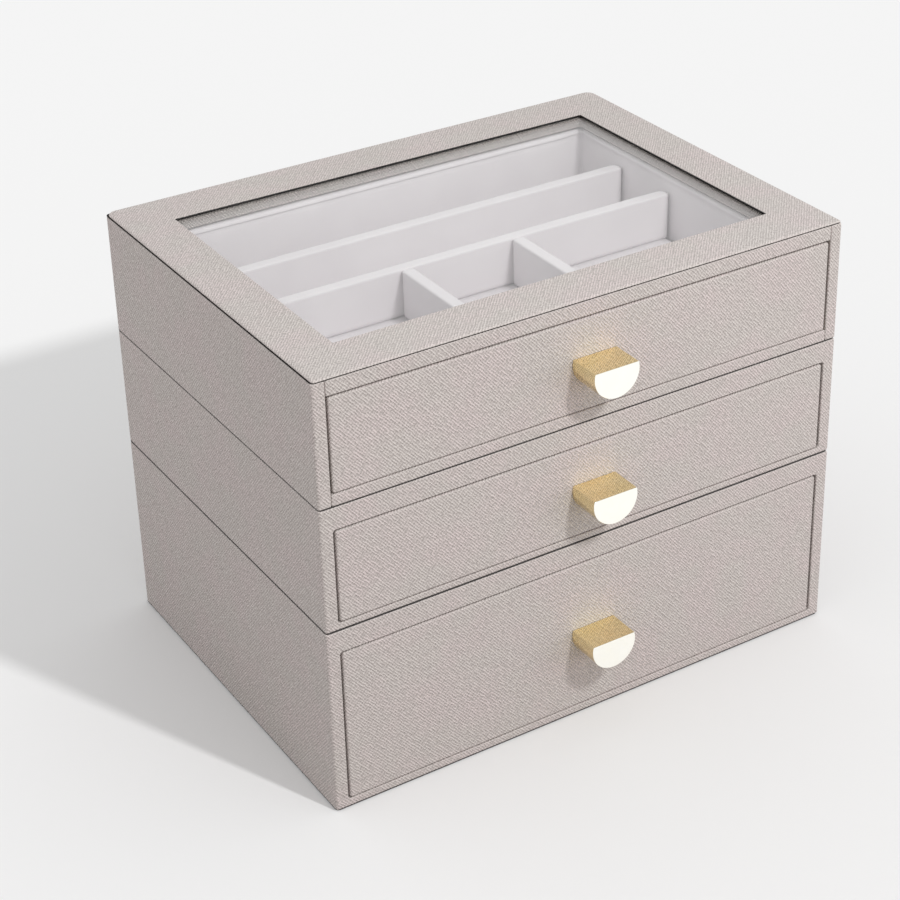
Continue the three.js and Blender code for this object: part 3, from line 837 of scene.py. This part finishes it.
def halfRoundPull(name):
    low, high = mmBox(f"{name}_pull")
    centreZ = low.z + pull["radius"]
    profile = roundUnder(pull["rearChamfer"], -high.y, 2) + roundOver(pull["chamfer"], -low.y, 3)
    bar = loft(f"{name}_half_round_pull", [pullSection(inset, depth) for inset, depth in profile])
    bar.data.transform(Matrix.Rotation(math.pi / 2, 4, "X"))
    bar.data.transform(Matrix.Translation((0, 0, centreZ * mm)))
    carve(bar, crossBore(pull["boreRadius"], centreZ, (high.y - pull["boreDepth"], high.y + 1)))
    dress(bar, [brass, brassPaintedReflection], f"{name}_pull", sharpAngle=28)
    # the end face and its chamfer take the painted reflection
    paintFaces(bar, lambda centre, normal: normal.y < -0.3 and centre.y < low.y + pull["reflectionPaintDepth"])


for drawerName in drawerNames:
    halfRoundPull(drawerName)
print("pulls turned")


# The drawer boxes behind the fronts: leatherette sides, and the bottom and back in lining paper
drawerBoards = {"edge": 0.5, "boards": ("bottom", "left_side", "right_side", "back")}
for drawerName in drawerNames:
    for boardName in drawerBoards["boards"]:
        low, high = mmBox(f"{drawerName}_{boardName}")
        board = boxPrism(f"{drawerName}_{boardName}_board", low, high)
        softenEdges(board, drawerBoards["edge"])
        finish = leatherette if "side" in boardName else lining
        dress(board, [finish], f"{drawerName}_{boardName}")
print("drawer boxes papered")


# The velvet ring that lines each drawer. Its rim is a soft roll with a shallow crease under it, which
# creaseSection gives as (share of its depth, millimetres below the roll). The wall below is a bit hollow.
liner = {"rim": 1.9, "rimSteps": 7, "crease": 1.3, "creaseSection": ((0.6, 0.15), (1, 0.5), (0.7, 0.95)),
         "wallHollow": 0.3, "wallTop": 1.8, "wallShares": (0.95, 0.8, 0.55, 0.3), "outerStep": 0.3,
         "corner": 3, "innerCorner": 2.4, "wallWidth": 7.6, "cornerPull": 1.3, "cornerReach": 5.5,
         "ripple": 0.12, "rippleSize": 24, "partLength": 7}


def velvetLiner(name, seed):
    low, high = mmBox(f"{name}_liner")
    centreY = (low.y + high.y) / 2
    outer = {"halfX": high.x, "halfY": (high.y - low.y) / 2, "radii": (liner["corner"],) * 4,
             "centre": (0, centreY)}
    inner = {"halfX": high.x - liner["wallWidth"], "halfY": outer["halfY"] - liner["wallWidth"],
             "radii": (liner["innerCorner"],) * 4, "centre": (0, centreY)}
    parts = tuple(round(2 * size / liner["partLength"]) for size in (high.x, outer["halfY"]))
    rim, crease, hollow = liner["rim"], liner["crease"], -liner["crease"] * liner["wallHollow"]
    rollLow = high.z - rim
    wallLength = rollLow - liner["wallTop"] - low.z
    wall = [(-crease * share, rollLow - below) for share, below in liner["creaseSection"]]
    wall += [(hollow, low.z + wallLength * share) for share in liner["wallShares"]]
    outside = [(liner["outerStep"], z) for z in (low.z, low.z + 3, (low.z + high.z) / 2, rollLow - 1)]
    ring = loft(f"{name}_velvet_liner", rings(outer, outside + roundOver(rim, high.z, liner["rimSteps"]),
                parts=parts) + rings(inner, roundInto(rim, high.z, liner["rimSteps"]) + wall
                + [(hollow, low.z)], parts=parts), isFrame=True)
    cornerX, cornerY = inner["halfX"] * mm, inner["halfY"] * mm
    for vertex in ring.data.vertices:  # the velvet is drawn into the four corners
        aside = Vector((cornerX - abs(vertex.co.x), cornerY - abs(vertex.co.y - centreY * mm)))
        near = 1 - aside.length / (liner["cornerReach"] * mm)
        if near > 0 and min(aside) > -0.001:
            drawn = liner["cornerPull"] * mm * near
            vertex.co.x += math.copysign(drawn, vertex.co.x)
            vertex.co.y += math.copysign(drawn, vertex.co.y - centreY * mm)
    for vertex in ring.data.vertices:
        sample = vertex.co / (liner["rippleSize"] * mm) + Vector((seed, 0, 0))
        vertex.co += noise.noise_vector(sample) * liner["ripple"] * mm
    dress(ring, [velvet], f"{name}_liner", sharpAngle=60)


noise.seed_set(11)  # noise_vector's offsets come from this seed
for order, drawerName in enumerate(drawerNames):
    velvetLiner(drawerName, order * 7.3)
print("drawers lined")


# The floor pads: foam under velvet, a little crowned in each bay and pressed down where a divider stands
pad = {"edge": 2.4, "edgeShares": (0, 0.04, 0.12, 0.25, 0.42, 0.65, 1), "crown": 1.0, "crownReach": 16,
       "crownRise": 2.2, "pressed": 1.1, "gridStep": 2.5, "ripple": 0.1, "rippleSize": 22,
       "rippleFade": 6, "fill": 0.35}


def gridLines(low, high):
    edge = pad["edge"]
    finePart = [edge * share for share in pad["edgeShares"]]
    count = max(2, round((high - low - 2 * edge) / pad["gridStep"]))
    middlePart = [low + edge + (high - low - 2 * edge) * i / count for i in range(1, count)]
    return [low + d for d in finePart] + middlePart + [high - d for d in reversed(finePart)]


def floorPad(name, bars, seed):
    low, high = mmBox(f"{name}_floor_pad")
    barBoxes = [mmBox(node) for node in bars]
    linesX = gridLines(low.x, high.x)
    linesY = gridLines(low.y, high.y)

    def topHeight(x, y):
        fromEdge = min(x - low.x, high.x - x, y - low.y, high.y - y)
        fromBar = fromEdge
        for barLow, barHigh in barBoxes:
            aside = max(barLow.x - x, x - barHigh.x, 0), max(barLow.y - y, y - barHigh.y, 0)
            fromBar = min(fromBar, math.hypot(*aside))
        crown = pad["crown"] * (1 - math.exp(-fromBar / pad["crownReach"] * pad["crownRise"]))
        ripple = noise.noise(Vector((x, y, seed * 40)) / pad["rippleSize"]) * pad["ripple"]
        ripple *= min(1, fromBar / pad["rippleFade"])
        fall = 0
        if fromEdge < pad["edge"]:
            fall = pad["edge"] - math.sqrt(max(0, pad["edge"] ** 2 - (pad["edge"] - fromEdge) ** 2))
        return high.z - pad["pressed"] + crown + ripple - fall

    shape = bmesh.new()
    grid = [[shape.verts.new(Vector((x, y, topHeight(x, y))) * mm) for x in linesX] for y in linesY]
    for j in range(len(linesY) - 1):
        for i in range(len(linesX) - 1):
            shape.faces.new((grid[j][i], grid[j][i + 1], grid[j + 1][i + 1], grid[j + 1][i]))
    rim = grid[0] + [row[-1] for row in grid[1:]] + list(reversed(grid[-1][:-1]))
    rim += [row[0] for row in reversed(grid[1:-1])]
    under = [shape.verts.new((vertex.co.x, vertex.co.y, low.z * mm)) for vertex in rim]
    for index in range(len(rim)):
        after = (index + 1) % len(rim)
        shape.faces.new((under[index], under[after], rim[after], rim[index]))
    shape.faces.new(list(reversed(under)))
    cushion = newPiece(f"{name}_velvet_pad", shape)
    dress(cushion, [velvet], f"{name}_floor_pad", sharpAngle=75)


# The dividers: velvet-covered bars with a full round top. One Geometry Nodes tree makes them all, and
# barInputs names its own settings. The bars reach a little into the liner and stand sunk into the pad,
# and they are stuffed, so their ends are rounded.
velvetBar = {"Thickness": 5.5, "Foot Round": 0.5, "Section Step": 0.6, "Length Step": 1.1, "Ripple": 0.32,
             "Ripple Size": 16, "reach": 0.2, "sunk": 1.7, "longEnd": 4.0, "shortEnd": 1.6, "endDrop": 1.0,
             "endThin": 0.05}
barInputs = ("Thickness", "Foot Round", "Section Step", "Length Step", "Ripple", "Ripple Size")


def velvetBarTree():
    tree = bpy.data.node_groups.new("velvetBar", "GeometryNodeTree")
    kinds = dict.fromkeys(("Length", "Height") + barInputs, "Float") | {"Seed": "Int", "Cover": "Material"}
    for name, kind in kinds.items():
        tree.interface.new_socket(name, in_out="INPUT", socket_type=f"NodeSocket{kind}")
    tree.interface.new_socket("Geometry", in_out="OUTPUT", socket_type="NodeSocketGeometry")
    given = addNode(tree, "NodeGroupInput")
    end = addNode(tree, "ShaderNodeCombineXYZ", {"X": given.outputs["Length"]})
    path = addNode(tree, "GeometryNodeCurvePrimitiveLine", {"End": end})
    path = addNode(tree, "GeometryNodeResampleCurve", {
        "Curve": path, "Length": given.outputs["Length Step"]}, mode="LENGTH")
    path = addNode(tree, "GeometryNodeSetCurveNormal", {"Curve": path}, mode="Z_UP")
    section = addNode(tree, "GeometryNodeCurvePrimitiveQuadrilateral", {
        "Width": given.outputs["Thickness"], "Height": given.outputs["Height"]})
    corner = addNode(tree, "ShaderNodeSeparateXYZ", {"Vector": addNode(tree, "GeometryNodeInputPosition")})
    isTop = addNode(tree, "FunctionNodeCompare", {"A": corner.outputs["Y"], "B": 0}, operation="GREATER_THAN")
    topRound = addNode(tree, "ShaderNodeMath", {0: given.outputs["Thickness"], 1: 0.496},
                       operation="MULTIPLY")
    roundSize = addNode(tree, "GeometryNodeSwitch", {
        "Switch": isTop, "False": given.outputs["Foot Round"], "True": topRound}, input_type="FLOAT")
    section = addNode(tree, "GeometryNodeFilletCurve", {
        "Curve": section, "Radius": roundSize, "Count": 7, "Limit Radius": True}, mode="POLY")
    section = addNode(tree, "GeometryNodeResampleCurve", {
        "Curve": section, "Length": given.outputs["Section Step"]}, mode="LENGTH")
    bar = addNode(tree, "GeometryNodeCurveToMesh", {
        "Curve": path, "Profile Curve": section, "Fill Caps": True})
    place = addNode(tree, "GeometryNodeInputPosition")
    offset = addNode(tree, "ShaderNodeCombineXYZ", {"X": given.outputs["Seed"]})
    scaled = addNode(tree, "ShaderNodeVectorMath", {0: place, 1: given.outputs["Ripple Size"]},
                     operation="DIVIDE")
    moved = addNode(tree, "ShaderNodeVectorMath", {0: scaled, 1: offset})
    wave = addNode(tree, "ShaderNodeTexNoise", {"Vector": moved, "Scale": 1, "Detail": 1})
    centred = addNode(tree, "ShaderNodeMath", {0: wave, 1: 0.5}, operation="SUBTRACT")
    amount = addNode(tree, "ShaderNodeMath", {0: centred, 1: given.outputs["Ripple"]}, operation="MULTIPLY")
    push = addNode(tree, "ShaderNodeVectorMath", {0: addNode(tree, "GeometryNodeInputNormal"),
                   "Scale": amount}, operation="SCALE")
    bar = addNode(tree, "GeometryNodeSetPosition", {"Geometry": bar, "Offset": push})
    bar = addNode(tree, "GeometryNodeRealizeInstances", {"Geometry": bar})
    bar = addNode(tree, "GeometryNodeSetMaterial", {"Geometry": bar, "Material": given.outputs["Cover"]})
    addNode(tree, "NodeGroupOutput", {"Geometry": bar})
    return tree


barTree = velvetBarTree()


def velvetDivider(node, seed):
    low, high = mmBox(node)
    runsAlongX = high.x - low.x > high.y - low.y
    low.z -= velvetBar["sunk"]
    length = max(high.x - low.x, high.y - low.y) + 2 * velvetBar["reach"]
    values = {"Length": length * mm, "Height": (high.z - low.z) * mm, "Seed": seed, "Cover": velvet}
    values.update({name: velvetBar[name] * mm for name in barInputs})
    divider = newPiece(f"{node}_bar", bmesh.new())
    maker = divider.modifiers.new("velvetBar", "NODES")
    maker.node_group = barTree
    for item in barTree.interface.items_tree:
        if item.in_out == "INPUT":
            maker[item.identifier] = values[item.name]
    bakeModifiers(divider)
    points = [vertex.co.copy() for vertex in divider.data.vertices]
    middle = Vector([(min(p[i] for p in points) + max(p[i] for p in points)) / 2 for i in range(3)])
    divider.data.transform(Matrix.Translation(-middle))
    endLength = (velvetBar["longEnd"] if runsAlongX else velvetBar["shortEnd"]) * mm
    for vertex in divider.data.vertices:
        fromEnd = (length * mm / 2 - abs(vertex.co.x)) / endLength
        if fromEnd < 1:
            vertex.co.y *= math.sqrt(max(1 - (1 - fromEnd) ** 2, velvetBar["endThin"]))
            if vertex.co.z > 0:
                vertex.co.z -= velvetBar["endDrop"] * mm * (1 - fromEnd) ** 2
    if not runsAlongX:
        divider.data.transform(Matrix.Rotation(math.pi / 2, 4, "Z"))
    divider.data.transform(Matrix.Translation((low + high) / 2 * mm))
    dress(divider, [velvet], node, sharpAngle=60)


dividerNodes = [name for name in sorted(frame["nodes"]) if "divider" in name]
for order, drawerName in enumerate(drawerNames):
    floorPad(drawerName, [node for node in dividerNodes if node.startswith(drawerName)], order)
for order, node in enumerate(dividerNodes):
    velvetDivider(node, order + 3)
print("pads and dividers made")

# CAD nodes that keep their shape get their real finish
keptFinishes = {"glass": glass, "glazing_tape": tape, "base_felt": felt, "pull_screw": steel}
for name, node in frame["nodes"].items():
    for ending, finish in keptFinishes.items():
        if name.endswith(ending):
            node.data.materials.clear()
            node.data.materials.append(finish)
pane = frame["nodes"]["upper_glass"]
pane.visible_shadow = False  # clear glass lets the light through to the tray
pane.visible_diffuse = False
print("kept nodes finished")
